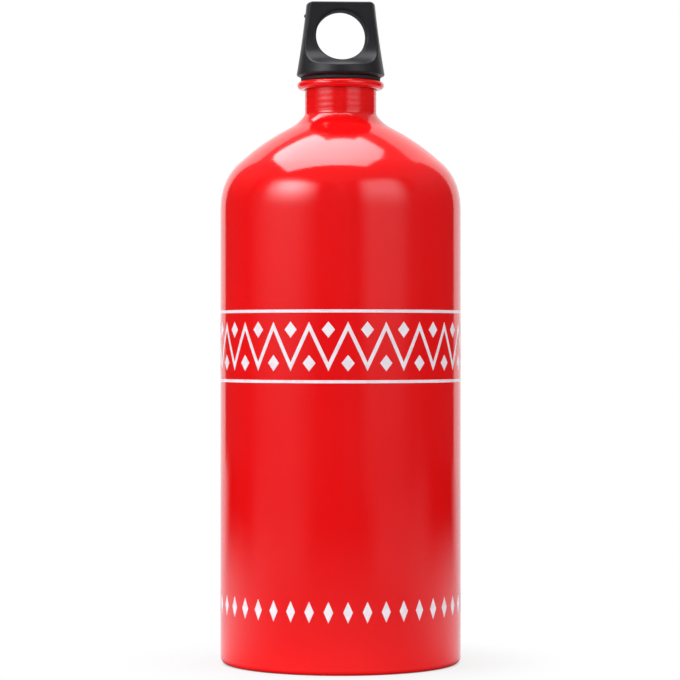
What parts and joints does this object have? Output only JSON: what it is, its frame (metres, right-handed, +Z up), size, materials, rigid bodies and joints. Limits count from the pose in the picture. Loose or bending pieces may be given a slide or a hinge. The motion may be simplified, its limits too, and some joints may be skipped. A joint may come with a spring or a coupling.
{
  "type": "camping fuel bottle",
  "caption": "Tall enamelled aluminium bottle for liquid stove fuel, with a domed shoulder, a curled lip and a black screw cap that seals on a flat gasket and has a finger loop.",
  "frame": {"origin": "centre of the standing ring, on the floor", "axes": "+Z up along the bottle's axis, +X along the plate of the cap, +Y through the finger loop, away from the picture's viewer"},
  "size_m": [0.0984, 0.0984, 0.2703],
  "materials": {
    "red_enamel": "gloss red enamel over drawn aluminium",
    "bare_aluminium": "turned, bare",
    "black_nylon": "moulded, satin",
    "plug_nylon": "moulded, satin",
    "seal_rubber": "matte"
  },
  "bodies": {
    "bottle": {"bottle_shell": "red_enamel", "neck_thread_ring": "bare_aluminium"},
    "seal": {"sealing_gasket": "seal_rubber"},
    "cap": {"cap_loop": "black_nylon", "threaded_plug": "plug_nylon"}
  },
  "joints": [
    {"name": "cap_lift", "type": "slide", "parent": "bottle", "child": "seal", "axis": [0, 0, 1], "range_m": [0, 0.0144]},
    {"name": "cap_turn", "type": "hinge", "parent": "seal", "child": "cap", "pos_m": [0, 0, 0.2396], "axis": [0, 0, 1], "range_deg": [0, 2160]}
  ],
  "couplings": [
    {"joint": "cap_lift", "follows": "cap_turn", "m_per_rad": 0.00038197}
  ]
}
